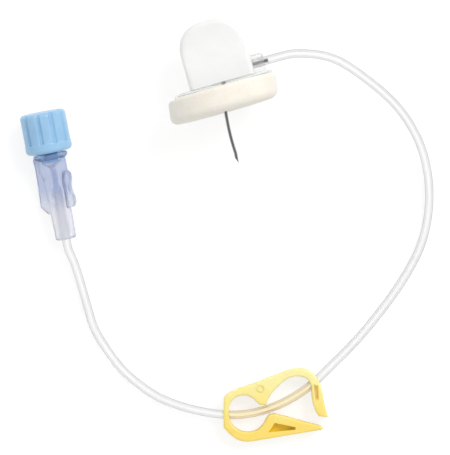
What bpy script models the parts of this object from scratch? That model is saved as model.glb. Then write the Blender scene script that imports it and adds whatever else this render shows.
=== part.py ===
"""Non-coring port needle set, laid out on a table: a bent steel needle in a clear hub, with a lift-off grip
and a foam pad, a clear extension tube with a pinch clamp, and a winged luer connector under a ribbed cap.
Sizes are in millimetres here and become metres as meshes are made. +Z is up and the table is z = 0."""
import math

import bmesh
import bpy
from mathutils import Matrix, Vector
from mathutils.geometry import intersect_line_line_2d

MM = 0.001
SHARP_ANGLE = math.radians(35.0)
BEVEL_ANGLE = math.radians(50.0)

# Clearances between pieces that touch or fit in each other
SEAT_GAP = 0.1
BORE_GAP = 0.08
TUBE_HOLE_GAP = 0.22

# How finely round things are drawn, and how far cutters reach past what they cut
DISC_SEGMENTS = 64
BORE_SEGMENTS = 24
QUARTER_STEPS = 4
ARCH_STEPS = 16
OVERCUT = 1.0

# Needle, a 20 gauge cannula with a non-coring tip
NEEDLE_OD = 0.9
NEEDLE_ID = 0.6
SHANK_LENGTH = 16.5
SHANK_STEPS = 20
NEEDLE_LEAN = math.radians(14.8)
NEEDLE_BOW_RADIUS = 55.0
NEEDLE_BEND_RADIUS = 1.8
NEEDLE_LEG_PROUD = 0.95
TIP_CURVE_LENGTH = 1.2
TIP_TURN = math.radians(9.0)
TIP_BEVEL = math.radians(28.0)
NEEDLE_SIDES = 16
NEEDLE_BEND_STEPS = 8
TIP_STEPS = 3

# Hub: platform, boss and side port. Heights are above the top of the foam pad.
PLATFORM_DIAMETER = 25.0
PLATFORM_THICKNESS = 0.8
PLATFORM_EDGE = 0.2
BOSS_DIAMETER = 4.8
BOSS_TOP = 5.7
BOSS_CHAMFER = 0.4
BOSS_FOOT_FILLET = 0.6
BOSS_FOOT_BAND = 0.2
PORT_REACH = 11.3
PORT_AXIS_HEIGHT = 3.37
PORT_WALL = 1.2
PORT_CHAMFER = 0.45
SOCKET_DEPTH = 3.4

# Foam pad, stuck on a little off centre, with its underside crept further the same way
FOAM_DIAMETER = 27.6
FOAM_THICKNESS = 6.0
FOAM_OFF_CENTRE = -0.5
FOAM_CREEP = -0.9
FOAM_TOP_RADIUS = 0.9
FOAM_UNDERSIDE_RADIUS = 2.0
FOAM_HOLE_GAP = 0.15
FOAM_HOLE_LEVELS = 4
FOAM_INNER_RING_SHARE = 0.35

# Grip, a flat paddle that straddles the boss and the port
GRIP_WIDTH = 16.5
GRIP_TOP = 16.9
GRIP_SHOULDER = 8.5
GRIP_ROUNDNESS = 2.6
GRIP_THICKNESS = ((1.0, 8.0), (3.5, 7.6), (6.4, 6.8), (9.2, 4.5), (11.8, 3.4), (14.4, 3.2), (16.9, 3.4))
GRIP_PROFILE_STEPS = 6
GRIP_EDGE_RADIUS = 1.2
GRIP_POCKET_GAP = 0.2
GRIP_POCKET_HEADROOM = 0.45
GRIP_STRAIGHT_LEVELS = 9
GRIP_ARCH_LEVELS = 14
GRIP_EDGE_STEPS = 3

# Tube
TUBE_OD = 2.1
TUBE_STEP = 4.2
TUBE_END_GAP = 0.3
TUBE_STRAIGHT_RUN = 2.5
TUBE_CURVE_STEPS = 12

# Clamp, a C-shaped strip lying flat
CLAMP_HEIGHT = 5.6
CLAMP_EDGE_RADIUS = 0.45
CLAMP_EDGE_STEPS = 2
CLAMP_EDGE_LIMIT = 0.3
CLAMP_FACE_BAND = 1.25
CLAMP_POCKET_DEPTH = 2.6
CLAMP_POCKET_FLOOR = 0.8
CLAMP_GROOVE_DEPTH = 1.2
CLAMP_GROOVE_FLOOR = 0.6
CLAMP_MARK_DIAMETER = 2.0
CLAMP_MARK_LINE = 0.35
CLAMP_MARK_DEPTH = 0.3
CLAMP_HOLES = (("end_wall_hole", -2.0, 2.2), ("hook_hole", 20.0, 25.5))
CLAMP_CURVE_STEPS = 2

# Luer connector. Places along its axis are measured from the cap's open rim, minus towards the tube.
LUER_MOUTH = 6.8
LUER_MOUTH_DIAMETER = 4.3
LUER_TAPER = 0.06
LUER_BORE_FLOOR = -2.6
LUER_LUMEN_DIAMETER = 1.2
LUER_NECK_DIAMETER = 6.6
LUER_COLLAR_DIAMETER = 8.6
LUER_COLLAR_TOP = -0.3
LUER_COLLAR_THICKNESS = 1.2
LUER_COLLAR_EDGE = 0.3
LUER_MOUTH_CHAMFER = 0.25
LUER_LUG_DIAMETER = 7.8
LUER_LUG_THICKNESS = 1.3
LUER_LUG_SPREAD = math.radians(62.0)
LUER_LUG_SINK = 0.4
LUER_LUG_SLOPE = 0.3
LUER_LUG_SETBACK = 0.05
LUER_LUG_STEPS = 8
LUER_BARREL_DIAMETER = 7.2
LUER_BARREL_FOOT = -5.0
SLEEVE_WING_END = -15.95
SLEEVE_DIAMETER = 5.7
SLEEVE_END_DIAMETER = 5.15
SLEEVE_END = -22.0
SLEEVE_TAPER_LENGTH = 1.8
SLEEVE_END_CHAMFER = 0.3
SLEEVE_SOCKET_DEPTH = 12.0
SLEEVE_SOCKET_LEAD = 0.4
SLEEVE_SOCKET_FLARE = 0.25
SLEEVE_SOCKET_CONE = 1.6
WING_THICKNESS = 1.3
WING_ROLL = math.radians(38.0)
WING_EDGE = 0.3
WING_CURVE_STEPS = 2
LUER_SEGMENTS = 32

# Luer cap
CAP_DIAMETER = 11.4
CAP_LENGTH = 10.1
CAP_TOP_THICKNESS = 1.3
CAP_SKIRT_BORE = 8.5
CAP_RING_HEIGHT = 2.2
CAP_RING_STEP = 0.1
CAP_RING_SLOPE = 0.35
CAP_EDGE_RADIUS = 1.0
CAP_RIM_RADIUS = 1.0
CAP_RIM_STEPS = 3
CAP_INSIDE_RADIUS = 0.35
CAP_FLUTES = 10
CAP_FLUTE_DEPTH = 0.55
CAP_FLUTE_PHASE = math.radians(-67.3)
CAP_CONE_TIP = -2.0
CAP_CONE_CHAMFER = 0.2
CAP_BORE_SEGMENTS = 48

# Half of one groove and rib, as (share of the pitch away from the groove, share of the groove's depth)
CAP_FLUTE_SHAPE = ((0.0, 1.0), (0.07, 0.92), (0.14, 0.35), (0.20, 0.0), (0.35, 0.0))

# Where the three rigid groups lie on the table; the cap rests on the rounded edge of its rim
HEAD_PLACE = (1.05, 1.2, FOAM_DIAMETER / 2.0)
CLAMP_PLACE = (-20.4, -77.25, 0.0)
CLAMP_TURN = math.radians(-15.7)
LUER_PITCH = math.radians(5.0)
LUER_TURN = math.radians(-5.0)
CAP_RIM_CENTRE = CAP_DIAMETER / 2.0 + CAP_RING_STEP - CAP_RIM_RADIUS
LUER_HEIGHT = CAP_RIM_RADIUS * (1.0 - math.sin(LUER_PITCH)) + CAP_RIM_CENTRE * math.cos(LUER_PITCH)
LUER_PLACE = (-44.97, -2.53, LUER_HEIGHT)

# The tube's free route over the table, from the port to the sleeve, in the part's own frame
TUBE_ROUTE = (
    (20.1, 4.3, 13.6), (28.5, 0.9, 12.6), (35.5, -6.4, 10.6), (41.8, -16.4, 7.4), (44.4, -27.1, 4.2),
    (43.2, -38.3, 2.0), (38.6, -48.7, 1.2), (31.1, -57.0, 1.1), (18.0, -67.0, 1.3), (7.8, -72.9, 2.3),
    (1.4, -76.2, 2.8), (-4.8, -78.1, 2.8), (-10.5, -78.8, 2.8), (-16.4, -78.4, 2.8), (-22.1, -76.7, 2.8),
    (-28.7, -73.5, 2.2), (-35.2, -68.9, 1.3), (-39.1, -64.5, 1.1), (-42.7, -58.8, 1.1), (-46.2, -48.2, 1.2),
    (-46.45, -42.4, 1.6), (-46.45, -36.5, 2.3), (-46.6, -31.0, 3.0),
)

# The clamp's outline in its own frame, anticlockwise from the foot of its end wall; a corner is marked.
# X runs along the clamp from the outside of the end wall, and Y is level with the tube at that wall.
CORNER = True
CLAMP_OUTLINE = (
    (-0.6, -3.2, CORNER), (0.9, -4.8), (2.6, -6.1), (4.3, -6.65), (6.4, -6.65, CORNER),
    (23.7, -3.75, CORNER), (24.15, -3.3, CORNER), (23.5, -2.75, CORNER), (19.6, -1.75), (15.2, -0.5),
    (12.2, 0.2, CORNER), (10.9, 0.1, CORNER), (10.1, -0.8), (9.3, -2.3), (7.9, -3.7), (6.0, -4.3),
    (4.0, -4.15), (2.2, -3.15), (1.1, -1.65), (0.75, 0.1), (0.85, 2.3), (1.7, 3.75), (3.1, 4.6),
    (4.75, 4.8), (6.5, 4.15), (7.6, 3.15), (8.4, 2.4, CORNER), (10.0, 2.4, CORNER), (10.3, 3.4),
    (11.1, 4.95), (12.55, 6.65), (14.2, 8.2), (15.9, 9.2), (17.65, 9.6), (19.3, 9.3), (20.5, 8.5),
    (21.15, 7.0), (21.3, 5.3), (21.6, 2.9), (22.2, 1.0), (23.1, -0.35, CORNER), (25.4, -0.65, CORNER),
    (24.8, 1.3), (24.3, 3.55), (23.7, 6.8), (22.5, 9.4), (20.6, 11.0), (18.3, 11.6), (15.7, 11.15),
    (12.4, 9.95), (8.0, 8.2), (3.5, 6.65), (1.0, 5.6), (-0.35, 4.5), (-0.6, 3.4, CORNER),
)
CLAMP_POCKET = ((12.05, -2.0), (17.35, -3.1), (17.35, -3.75), (10.5, -4.35))
CLAMP_GROOVE = ((21.75, 7.6), (22.95, 7.3), (23.05, 3.6), (22.25, 3.3))
CLAMP_MARK = (8.5, 6.35)

# The two wings' outlines as (place along the axis, distance from the axis)
RAISED_WING = (
    (-5.0, 2.0), (-5.1, 4.6), (-5.9, 5.2), (-7.4, 5.1), (-9.2, 4.6), (-10.8, 4.8), (-12.2, 5.25),
    (-13.4, 5.1), (-14.2, 4.3), (-14.4, 2.0),
)
LOWERED_WING = (
    (-0.9, 2.0), (-1.0, 5.1), (-1.6, 5.5), (-3.2, 5.35), (-8.0, 5.5), (-12.4, 5.8), (-13.3, 5.85),
    (-13.7, 5.6), (-15.3, 3.9), (-15.7, 2.0),
)


def remove_everything():
    for item in list(bpy.data.objects):
        bpy.data.objects.remove(item, do_unlink=True)


def make_material(name, colour, roughness, metallic=0.0, alpha=1.0):
    material = bpy.data.materials.new(name)
    material.use_nodes = True
    shader = material.node_tree.nodes["Principled BSDF"]
    shader.inputs["Base Color"].default_value = (*colour, 1.0)
    shader.inputs["Roughness"].default_value = roughness
    shader.inputs["Metallic"].default_value = metallic
    shader.inputs["Alpha"].default_value = alpha
    return material


def make_empty(name, place, rotation):
    empty = bpy.data.objects.new(name, None)
    empty.location = Vector(place) * MM
    empty.rotation_euler = rotation
    bpy.context.scene.collection.objects.link(empty)
    return empty


def make_object(name, bm, parent=None, material=None):
    """Turn a bmesh drawn in millimetres into an object in metres, with its faces pointing out."""
    bmesh.ops.recalc_face_normals(bm, faces=bm.faces)
    bmesh.ops.scale(bm, vec=(MM, MM, MM), verts=bm.verts)
    mesh = bpy.data.meshes.new(name)
    bm.to_mesh(mesh)
    bm.free()
    mesh.shade_smooth()
    mesh.set_sharp_from_angle(angle=SHARP_ANGLE)
    item = bpy.data.objects.new(name, mesh)
    item.parent = parent
    bpy.context.scene.collection.objects.link(item)
    if material is not None:
        mesh.materials.append(material)
    return item


def make_cutter(name, bm, parent=None):
    cutter = make_object(name, bm, parent)
    cutter.hide_render = True
    cutter.display_type = "WIRE"
    return cutter


def combine(item, other, operation):
    step = item.modifiers.new(operation.title() + "_" + other.name, "BOOLEAN")
    step.operation = operation
    step.solver = "EXACT"
    step.object = other


def flatten_faces(item):
    """Shade broad faces flat up to the edges that the Boolean steps made."""
    normals = item.modifiers.new("Flat_faces", "WEIGHTED_NORMAL")
    normals.keep_sharp = True


def soften(item, width):
    """Round the edges that are sharper than the limit."""
    bevel = item.modifiers.new("Edges", "BEVEL")
    bevel.width = width * MM
    bevel.segments = 2
    bevel.limit_method = "ANGLE"
    bevel.angle_limit = BEVEL_ANGLE


def join_rings(bm, rings, closed=False, capped=True):
    """Skin a list of point rings, all with as many points; closed joins the last ring to the first."""
    made = [[bm.verts.new(point) for point in ring] for ring in rings]
    pairs = list(zip(made, made[1:]))
    if closed:
        pairs.append((made[-1], made[0]))
    for low, high in pairs:
        count = len(low)
        for i in range(count):
            j = (i + 1) % count
            bm.faces.new((low[i], low[j], high[j], high[i]))
    if capped and not closed:
        bm.faces.new(made[0])
        bm.faces.new(made[-1])
    return made


def turned_ring(radius, height, segments, centre_x=0.0):
    angles = (2.0 * math.pi * i / segments for i in range(segments))
    return [Vector((centre_x + radius * math.cos(a), radius * math.sin(a), height)) for a in angles]


def turned_body(profile, segments):
    """A solid turned about Z from (radius, height) points; a point on the axis closes that end flat."""
    bm = bmesh.new()
    open_profile = [(r, z) for r, z in profile if r > 0.0]
    on_axis = len(open_profile) < len(profile)
    join_rings(bm, [turned_ring(r, z, segments) for r, z in open_profile], closed=not on_axis)
    return bm


def swept_rings(path, radii, sides):
    """Rings square to a path that lies in one plane of constant Y."""
    rings = []
    last = len(path) - 1
    for i, (point, radius) in enumerate(zip(path, radii)):
        along = (path[min(i + 1, last)] - path[max(i - 1, 0)]).normalized()
        side = Vector((0.0, 1.0, 0.0)) - along * along.y
        side.normalize()
        up = along.cross(side)
        angles = (2.0 * math.pi * k / sides for k in range(sides))
        rings.append([point + (side * math.cos(a) + up * math.sin(a)) * radius for a in angles])
    return rings


def swept_body(path, radius, sides):
    bm = bmesh.new()
    join_rings(bm, swept_rings(path, [radius] * len(path), sides))
    return bm


def smooth_through(points, steps):
    """Points on one smooth open curve through the given ones, with spacing that follows their distances."""
    before = points[0] * 2.0 - points[1]
    after = points[-1] * 2.0 - points[-2]
    guide = [before, *points, after]
    curve = []
    for a, b, c, d in zip(guide, guide[1:], guide[2:], guide[3:]):
        knot_b = math.sqrt((b - a).length)
        knot_c = knot_b + math.sqrt((c - b).length)
        knot_d = knot_c + math.sqrt((d - c).length)
        for k in range(steps):
            t = knot_b + (knot_c - knot_b) * k / steps
            ab = a.lerp(b, t / knot_b)
            bc = b.lerp(c, (t - knot_b) / (knot_c - knot_b))
            cd = c.lerp(d, (t - knot_c) / (knot_d - knot_c))
            abc = ab.lerp(bc, t / knot_c)
            bcd = bc.lerp(cd, (t - knot_b) / (knot_d - knot_b))
            curve.append(abc.lerp(bcd, (t - knot_b) / (knot_c - knot_b)))
    curve.append(points[-1].copy())
    return curve


def evenly_spaced(curve, step):
    """The same curve again with its points about one step apart."""
    lengths = [0.0]
    for a, b in zip(curve, curve[1:]):
        lengths.append(lengths[-1] + (b - a).length)
    count = max(2, round(lengths[-1] / step))
    spaced = []
    at = 0
    for k in range(count + 1):
        target = lengths[-1] * k / count
        while at < len(curve) - 2 and lengths[at + 1] < target:
            at += 1
        share = (target - lengths[at]) / (lengths[at + 1] - lengths[at])
        spaced.append(curve[at].lerp(curve[at + 1], share))
    return spaced


# Needle


def needle_direction(turn):
    """The way down the shank once it has turned by this much from its first lean."""
    angle = turn - NEEDLE_LEAN
    return Vector((math.sin(angle), 0.0, -math.cos(angle)))


def needle_path():
    """The cannula's centre line in the head's frame, from the tip up the shank and out along the leg."""
    down = needle_direction(0.0)
    shank = [Vector((0.0, 0.0, 0.0))]
    turn = 0.0
    half_bevel = NEEDLE_OD / 2.0 / math.tan(TIP_BEVEL)
    step = SHANK_LENGTH / SHANK_STEPS
    for _ in range(SHANK_STEPS):
        turn += step / NEEDLE_BOW_RADIUS
        shank.append(shank[-1] + needle_direction(turn) * step)
    tip = [shank[-1]]
    for k in range(TIP_STEPS):
        onward = needle_direction(turn - TIP_TURN * (k + 1) / TIP_STEPS)
        tip.append(tip[-1] + onward * TIP_CURVE_LENGTH / TIP_STEPS)
    tip.append(tip[-1] + onward * half_bevel)
    corner = -down * (PORT_AXIS_HEIGHT / -down.z)
    bend = math.pi / 2.0 - NEEDLE_LEAN
    start = corner + down * NEEDLE_BEND_RADIUS * math.tan(bend / 2.0)
    centre = start + Vector((math.cos(NEEDLE_LEAN), 0.0, -math.sin(NEEDLE_LEAN))) * NEEDLE_BEND_RADIUS
    arc = []
    for k in range(NEEDLE_BEND_STEPS + 1):
        swing = Matrix.Rotation(bend * k / NEEDLE_BEND_STEPS, 3, "Y")
        arc.append(centre + swing @ (start - centre))
    end = Vector((PORT_REACH + NEEDLE_LEG_PROUD, 0.0, PORT_AXIS_HEIGHT))
    middle = arc[-1].lerp(end, 0.5)
    return tip[:0:-1] + shank[::-1] + arc + [middle, end]


def make_needle(head):
    path = needle_path()
    count = len(path)
    outer = swept_rings(path, [NEEDLE_OD / 2.0] * count, NEEDLE_SIDES)
    inner = swept_rings(path, [NEEDLE_ID / 2.0] * count, NEEDLE_SIDES)
    along = (path[0] - path[1]).normalized()
    across = Vector((-along.z, 0.0, along.x))
    for ring in (outer[0], inner[0]):
        for point in ring:
            offset = (point - path[0]).dot(across)
            point += along * offset / math.tan(TIP_BEVEL)
    bm = bmesh.new()
    join_rings(bm, outer + inner[::-1], closed=True)
    make_object("needle", bm, head, make_material("needle_steel", (0.66, 0.66, 0.66), 0.25, 1.0))


def needle_offset(height):
    """How far the shank's centre is from the hub's axis at a height below the platform."""
    path = needle_path()
    below = [point for point in path if point.z <= 0.01]
    for low, high in zip(below, below[1:]):
        if low.z <= height <= high.z:
            share = (height - low.z) / (high.z - low.z)
            return low.x + (high.x - low.x) * share
    return 0.0


# Hub


def hub_profile():
    """Half section of the platform and boss, outside only, with a hollow fillet between them."""
    rim = PLATFORM_DIAMETER / 2.0
    low = SEAT_GAP
    high = low + PLATFORM_THICKNESS
    boss = BOSS_DIAMETER / 2.0
    fillet = BOSS_FOOT_FILLET
    profile = [
        (0.0, low), (rim - PLATFORM_EDGE, low), (rim, low + PLATFORM_EDGE), (rim, high - PLATFORM_EDGE),
        (rim - PLATFORM_EDGE, high), (boss + fillet + BOSS_FOOT_BAND, high),
    ]
    for k in range(QUARTER_STEPS + 1):
        a = math.pi / 2.0 * k / QUARTER_STEPS
        profile.append((boss + fillet * (1.0 - math.sin(a)), high + fillet * (1.0 - math.cos(a))))
    profile += [(boss, BOSS_TOP - BOSS_CHAMFER), (boss - BOSS_CHAMFER, BOSS_TOP), (0.0, BOSS_TOP)]
    return profile


def arch_ring(x, reach, foot):
    """The port's section at one place: round over the socket and straight down to a flat foot."""
    ring = [Vector((x, reach, foot))]
    for k in range(ARCH_STEPS + 1):
        a = math.pi * k / ARCH_STEPS
        ring.append(Vector((x, reach * math.cos(a), PORT_AXIS_HEIGHT + reach * math.sin(a))))
    ring.append(Vector((x, -reach, foot)))
    return ring


def port_body():
    """An arched block from the boss to the port's mouth."""
    radius = TUBE_OD / 2.0 + BORE_GAP + PORT_WALL
    foot = SEAT_GAP + PLATFORM_THICKNESS / 2.0
    stations = ((0.0, 0.0), (PORT_REACH - PORT_CHAMFER, 0.0), (PORT_REACH, PORT_CHAMFER))
    bm = bmesh.new()
    join_rings(bm, [arch_ring(x, radius - shrink, foot) for x, shrink in stations])
    return bm


def make_hub(head):
    clear = make_material("hub_clear", (0.90, 0.93, 0.94), 0.08, alpha=0.4)
    hub = make_object("hub", turned_body(hub_profile(), DISC_SEGMENTS), head, clear)
    combine(hub, make_cutter("port_block", port_body(), head), "UNION")
    channel = needle_path()
    lowest = max(i for i, point in enumerate(channel) if point.z < -PLATFORM_THICKNESS)
    channel_radius = NEEDLE_OD / 2.0 + BORE_GAP
    bore = make_cutter("needle_channel", swept_body(channel[lowest:], channel_radius, NEEDLE_SIDES), head)
    combine(hub, bore, "DIFFERENCE")
    socket_radius = TUBE_OD / 2.0 + BORE_GAP
    ends = (PORT_REACH - SOCKET_DEPTH, PORT_REACH + OVERCUT)
    socket_path = [Vector((x, 0.0, PORT_AXIS_HEIGHT)) for x in ends]
    socket = make_cutter("tube_socket", swept_body(socket_path, socket_radius, BORE_SEGMENTS), head)
    combine(hub, socket, "DIFFERENCE")
    flatten_faces(hub)


# Foam pad


def make_foam_pad(head):
    """A disc with softly rounded edges whose hole follows the bowed needle."""
    outer_radius = FOAM_DIAMETER / 2.0
    hole_radius = NEEDLE_OD / 2.0 + FOAM_HOLE_GAP

    def centre(height):
        return FOAM_OFF_CENTRE + FOAM_CREEP * -height / FOAM_THICKNESS

    def wall(radius, height):
        return turned_ring(radius, height, DISC_SEGMENTS, centre(height))

    def hole(height):
        return turned_ring(hole_radius, height, DISC_SEGMENTS, needle_offset(height))

    top = []
    bottom = []
    for k in range(QUARTER_STEPS + 1):
        a = math.pi / 2.0 * k / QUARTER_STEPS
        inset = 1.0 - math.sin(a)
        drop = 1.0 - math.cos(a)
        top.append(wall(outer_radius - FOAM_TOP_RADIUS * inset, -FOAM_TOP_RADIUS * drop))
        low = FOAM_UNDERSIDE_RADIUS * drop - FOAM_THICKNESS
        bottom.append(wall(outer_radius - FOAM_UNDERSIDE_RADIUS * inset, low))
    spread = outer_radius * FOAM_INNER_RING_SHARE
    rings = [hole(0.0), wall(spread, 0.0), *top, *bottom[::-1], wall(spread, -FOAM_THICKNESS)]
    rings += [hole(-FOAM_THICKNESS * k / FOAM_HOLE_LEVELS) for k in range(FOAM_HOLE_LEVELS, 0, -1)]
    bm = bmesh.new()
    join_rings(bm, rings, closed=True)
    make_object("foam_pad", bm, head, make_material("foam_cream", (0.93, 0.87, 0.74), 0.9))


# Grip


def grip_half_width(height):
    if height <= GRIP_SHOULDER:
        return GRIP_WIDTH / 2.0
    rise = (height - GRIP_SHOULDER) / (GRIP_TOP - GRIP_SHOULDER)
    return GRIP_WIDTH / 2.0 * (1.0 - rise ** GRIP_ROUNDNESS) ** (1.0 / GRIP_ROUNDNESS)


def grip_half_thickness(height):
    """Full at the foot over the boss, then dished on both faces for the finger tips."""
    guide = [Vector((thick, 0.0, level)) for level, thick in GRIP_THICKNESS]
    curve = smooth_through(guide, GRIP_PROFILE_STEPS)
    for low, high in zip(curve, curve[1:]):
        if height <= high.z:
            share = (height - low.z) / (high.z - low.z)
            return (low.x + (high.x - low.x) * share) / 2.0
    return curve[-1].x / 2.0


def grip_heights():
    foot = SEAT_GAP + PLATFORM_THICKNESS + SEAT_GAP
    straight = GRIP_SHOULDER - foot
    levels = [foot + straight * k / GRIP_STRAIGHT_LEVELS for k in range(GRIP_STRAIGHT_LEVELS)]
    for k in range(GRIP_ARCH_LEVELS):
        swing = math.pi / 2.0 * k / GRIP_ARCH_LEVELS
        levels.append(GRIP_SHOULDER + (GRIP_TOP - GRIP_SHOULDER) * math.sin(swing) ** (2.0 / GRIP_ROUNDNESS))
    return levels


def grip_body():
    """Outlines stacked through the thickness, drawn in at both faces for the round edge, ruled across."""
    levels = grip_heights()
    foot = levels[0]
    rings = []
    outward = range(GRIP_EDGE_STEPS + 1)
    for side, swings in ((-1.0, reversed(outward)), (1.0, outward)):
        for swing in swings:
            angle = math.pi / 2.0 * swing / GRIP_EDGE_STEPS
            inset = GRIP_EDGE_RADIUS * (1.0 - math.cos(angle))
            sunk = GRIP_EDGE_RADIUS * (1.0 - math.sin(angle))
            narrower = 1.0 - inset / (GRIP_WIDTH / 2.0)
            lower = 1.0 - inset / (GRIP_TOP - foot)
            right = []
            for height in levels:
                y = side * (grip_half_thickness(height) - sunk)
                right.append(Vector((grip_half_width(height) * narrower, y, foot + (height - foot) * lower)))
            rings.append(right + [Vector((-p.x, p.y, p.z)) for p in reversed(right)])
    bm = bmesh.new()
    made = join_rings(bm, rings, capped=False)
    for face in (made[0], made[-1]):
        last = len(face) - 1
        for k in range(len(levels) - 1):
            bm.faces.new((face[k], face[k + 1], face[last - k - 1], face[last - k]))
    return bm


def make_grip(head):
    grip = make_object("grip", grip_body(), head, make_material("grip_white", (0.93, 0.93, 0.92), 0.35))
    platform_top = SEAT_GAP + PLATFORM_THICKNESS
    pocket_top = BOSS_TOP + GRIP_POCKET_HEADROOM
    pocket = BOSS_DIAMETER / 2.0 + GRIP_POCKET_GAP
    mouth = pocket + BOSS_FOOT_FILLET
    profile = [(0.0, 0.0), (mouth, 0.0), (mouth, platform_top), (pocket, platform_top + BOSS_FOOT_FILLET),
               (pocket, pocket_top), (0.0, pocket_top)]
    boss_pocket = turned_body(profile, DISC_SEGMENTS // 2)
    combine(grip, make_cutter("boss_pocket", boss_pocket, head), "DIFFERENCE")
    half = TUBE_OD / 2.0 + BORE_GAP + PORT_WALL + GRIP_POCKET_GAP
    bm = bmesh.new()
    join_rings(bm, [arch_ring(x, half, 0.0) for x in (0.0, GRIP_WIDTH)])
    combine(grip, make_cutter("port_slot", bm, head), "DIFFERENCE")
    flatten_faces(grip)


# Luer connector and cap, turned about the luer's own axis


def luer_bore_radius(place):
    return (LUER_MOUTH_DIAMETER - LUER_TAPER * (LUER_MOUTH - place)) / 2.0


def sleeve_radius(place):
    """The sleeve tapers evenly from its head under the barrel to its end."""
    head = LUER_BARREL_FOOT - SLEEVE_TAPER_LENGTH
    share = (head - place) / (head - SLEEVE_END - SLEEVE_END_CHAMFER)
    return (SLEEVE_DIAMETER + (SLEEVE_END_DIAMETER - SLEEVE_DIAMETER) * share) / 2.0


def lug_body(turn):
    """One of the two thread lugs, an arc of flange at the connector's mouth."""
    inner = LUER_NECK_DIAMETER / 2.0 - LUER_LUG_SINK
    outer = LUER_LUG_DIAMETER / 2.0
    low = LUER_MOUTH - LUER_LUG_THICKNESS
    high = LUER_MOUTH - LUER_LUG_SETBACK
    section = ((inner, low - LUER_LUG_SLOPE), (outer, low), (outer, high), (inner, high))
    rings = []
    for k in range(LUER_LUG_STEPS + 1):
        a = turn + LUER_LUG_SPREAD * (k / LUER_LUG_STEPS - 0.5)
        rings.append([Vector((r * math.cos(a), r * math.sin(a), z)) for r, z in section])
    bm = bmesh.new()
    join_rings(bm, rings)
    return bm


def wing_body(outline, turn):
    """A wing: a plate standing on the barrel along the axis, with a rounded outline."""
    guide = [Vector((distance, 0.0, place)) for place, distance in outline]
    curve = [guide[0], *smooth_through(guide[1:-1], WING_CURVE_STEPS), guide[-1]]
    aside = Vector((0.0, WING_THICKNESS / 2.0, 0.0))
    bm = bmesh.new()
    join_rings(bm, [[point - aside for point in curve], [point + aside for point in curve]])
    bmesh.ops.rotate(bm, verts=bm.verts, cent=(0.0, 0.0, 0.0), matrix=Matrix.Rotation(turn, 3, "Z"))
    return bm


def make_luer_connector(luer):
    neck = LUER_NECK_DIAMETER / 2.0
    barrel = LUER_BARREL_DIAMETER / 2.0
    collar = LUER_COLLAR_DIAMETER / 2.0
    collar_foot = LUER_COLLAR_TOP - LUER_COLLAR_THICKNESS
    sleeve_end = SLEEVE_END_DIAMETER / 2.0
    socket = TUBE_OD / 2.0 + BORE_GAP
    lumen = LUER_LUMEN_DIAMETER / 2.0
    socket_floor = SLEEVE_END + SLEEVE_SOCKET_DEPTH
    profile = [
        (luer_bore_radius(LUER_MOUTH), LUER_MOUTH),
        (neck - LUER_MOUTH_CHAMFER, LUER_MOUTH), (neck, LUER_MOUTH - LUER_MOUTH_CHAMFER),
        (neck, LUER_COLLAR_TOP), (collar - LUER_COLLAR_EDGE, LUER_COLLAR_TOP),
        (collar, LUER_COLLAR_TOP - LUER_COLLAR_EDGE), (collar, collar_foot + LUER_COLLAR_EDGE),
        (collar - LUER_COLLAR_EDGE, collar_foot), (barrel, collar_foot - LUER_COLLAR_EDGE),
        (barrel, LUER_BARREL_FOOT),
        (SLEEVE_DIAMETER / 2.0, LUER_BARREL_FOOT - SLEEVE_TAPER_LENGTH),
        (sleeve_radius(SLEEVE_WING_END), SLEEVE_WING_END),
        (sleeve_end, SLEEVE_END + SLEEVE_END_CHAMFER), (sleeve_end - SLEEVE_END_CHAMFER, SLEEVE_END),
        (socket + SLEEVE_SOCKET_FLARE, SLEEVE_END), (socket, SLEEVE_END + SLEEVE_SOCKET_LEAD),
        (socket, socket_floor), (lumen, socket_floor + SLEEVE_SOCKET_CONE),
        (lumen, LUER_BORE_FLOOR - luer_bore_radius(LUER_BORE_FLOOR) + lumen),
        (luer_bore_radius(LUER_BORE_FLOOR), LUER_BORE_FLOOR),
    ]
    violet = make_material("connector_violet", (0.60, 0.60, 0.84), 0.2, alpha=0.7)
    connector = make_object("luer_connector", turned_body(profile, LUER_SEGMENTS), luer, violet)
    for name, turn in (("lug_one", 0.0), ("lug_two", math.pi)):
        combine(connector, make_cutter(name, lug_body(turn), luer), "UNION")
    raised = make_cutter("wing_raised", wing_body(RAISED_WING, -WING_ROLL), luer)
    lowered = make_cutter("wing_lowered", wing_body(LOWERED_WING, math.pi - WING_ROLL), luer)
    for wing in (raised, lowered):
        soften(wing, WING_EDGE)
        combine(connector, wing, "UNION")
    flatten_faces(connector)


def cap_flute_places():
    """Angles once round the cap, each with how deep it lies in a groove as a share of the groove's depth."""
    pitch = 2.0 * math.pi / CAP_FLUTES
    mirrored = [(-share, deep) for share, deep in CAP_FLUTE_SHAPE[:0:-1]]
    flute = [*mirrored, *CAP_FLUTE_SHAPE, (0.5, 0.0)]
    places = []
    for k in range(CAP_FLUTES):
        places += [(CAP_FLUTE_PHASE + pitch * (k + share), deep) for share, deep in flute]
    return places


def cap_outer_ring(height, inset=0.0):
    """The cap's outside: broad ribs with narrow grooves between them, above a plain ring at the rim."""
    in_ring = height <= CAP_RING_HEIGHT
    ring = []
    for angle, deep in cap_flute_places():
        step = CAP_RING_STEP if in_ring else -CAP_FLUTE_DEPTH * deep
        radius = CAP_DIAMETER / 2.0 + step - inset
        ring.append(Vector((radius * math.cos(angle), radius * math.sin(angle), height)))
    return ring


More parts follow.
